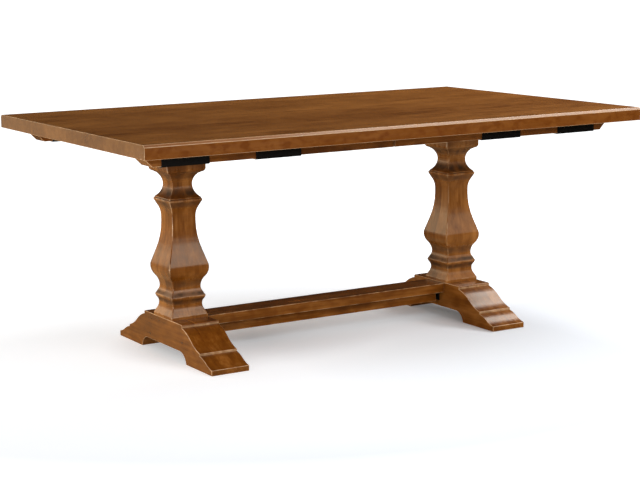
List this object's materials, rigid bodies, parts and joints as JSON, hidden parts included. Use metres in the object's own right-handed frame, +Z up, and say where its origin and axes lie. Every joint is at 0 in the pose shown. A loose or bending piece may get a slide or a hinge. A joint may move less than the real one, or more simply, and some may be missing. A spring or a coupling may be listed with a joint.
{
  "type": "trestle dining table",
  "caption": "Trestle dining table with a thick glued wooden top, moulded square columns on sledge feet, a low stretcher and pull-out bars in black guides for end leaves.",
  "frame": {"origin": "on the floor under the middle of the table top", "axes": "+X along the table's length, towards its right end, +Y across it, away from the front, +Z up"},
  "size_m": [1.829, 1.118, 0.756],
  "materials": {
    "top_wood": "warm brown stain under a satin lacquer",
    "trestle_wood": "warm brown stain under a satin lacquer, pale worn arrises",
    "bar_wood": "warm brown stain under a satin lacquer",
    "guide_black": "satin black",
    "steel_black": "blackened brackets and screws",
    "steel": "zinc plated"
  },
  "bodies": {
    "table": {"top_board_1": "top_wood", "top_board_2": "top_wood", "top_board_3": "top_wood", "top_board_4": "top_wood", "top_board_5": "top_wood", "top_board_6": "top_wood", "top_board_7": "top_wood", "top_board_8": "top_wood", "column_left": "trestle_wood", "foot_left": "trestle_wood", "bolster_left": "trestle_wood", "bolster_screws_left": "steel", "tie_rod_left": "steel", "rod_washers_left": "steel", "rod_nuts_left": "steel", "stretcher_bracket_left": "steel_black", "bracket_screws_left": "steel_black", "column_right": "trestle_wood", "foot_right": "trestle_wood", "bolster_right": "trestle_wood", "bolster_screws_right": "steel", "tie_rod_right": "steel", "rod_washers_right": "steel", "rod_nuts_right": "steel", "stretcher_bracket_right": "steel_black", "bracket_screws_right": "steel_black", "stretcher_board": "trestle_wood", "stretcher_batten": "trestle_wood", "batten_screws": "steel", "guide_front_left_outer": "guide_black", "guide_front_left_inner": "guide_black", "guide_screws_front_left": "steel_black", "guide_front_right_outer": "guide_black", "guide_front_right_inner": "guide_black", "guide_screws_front_right": "steel_black", "guide_back_left_outer": "guide_black", "guide_back_left_inner": "guide_black", "guide_screws_back_left": "steel_black", "guide_back_right_outer": "guide_black", "guide_back_right_inner": "guide_black", "guide_screws_back_right": "steel_black"},
    "bar_front_left": {"slider_front_left": "bar_wood", "stop_peg_front_left": "bar_wood"},
    "bar_front_right": {"slider_front_right": "bar_wood", "stop_peg_front_right": "bar_wood"},
    "bar_back_left": {"slider_back_left": "bar_wood", "stop_peg_back_left": "bar_wood"},
    "bar_back_right": {"slider_back_right": "bar_wood", "stop_peg_back_right": "bar_wood"}
  },
  "joints": [
    {"name": "bar_slide_front_left", "type": "slide", "parent": "table", "child": "bar_front_left", "axis": [-1, 0, 0], "range_m": [0, 0.3125]},
    {"name": "bar_slide_front_right", "type": "slide", "parent": "table", "child": "bar_front_right", "axis": [1, 0, 0], "range_m": [0, 0.3125]},
    {"name": "bar_slide_back_left", "type": "slide", "parent": "table", "child": "bar_back_left", "axis": [-1, 0, 0], "range_m": [0, 0.3125]},
    {"name": "bar_slide_back_right", "type": "slide", "parent": "table", "child": "bar_back_right", "axis": [1, 0, 0], "range_m": [0, 0.3125]}
  ]
}
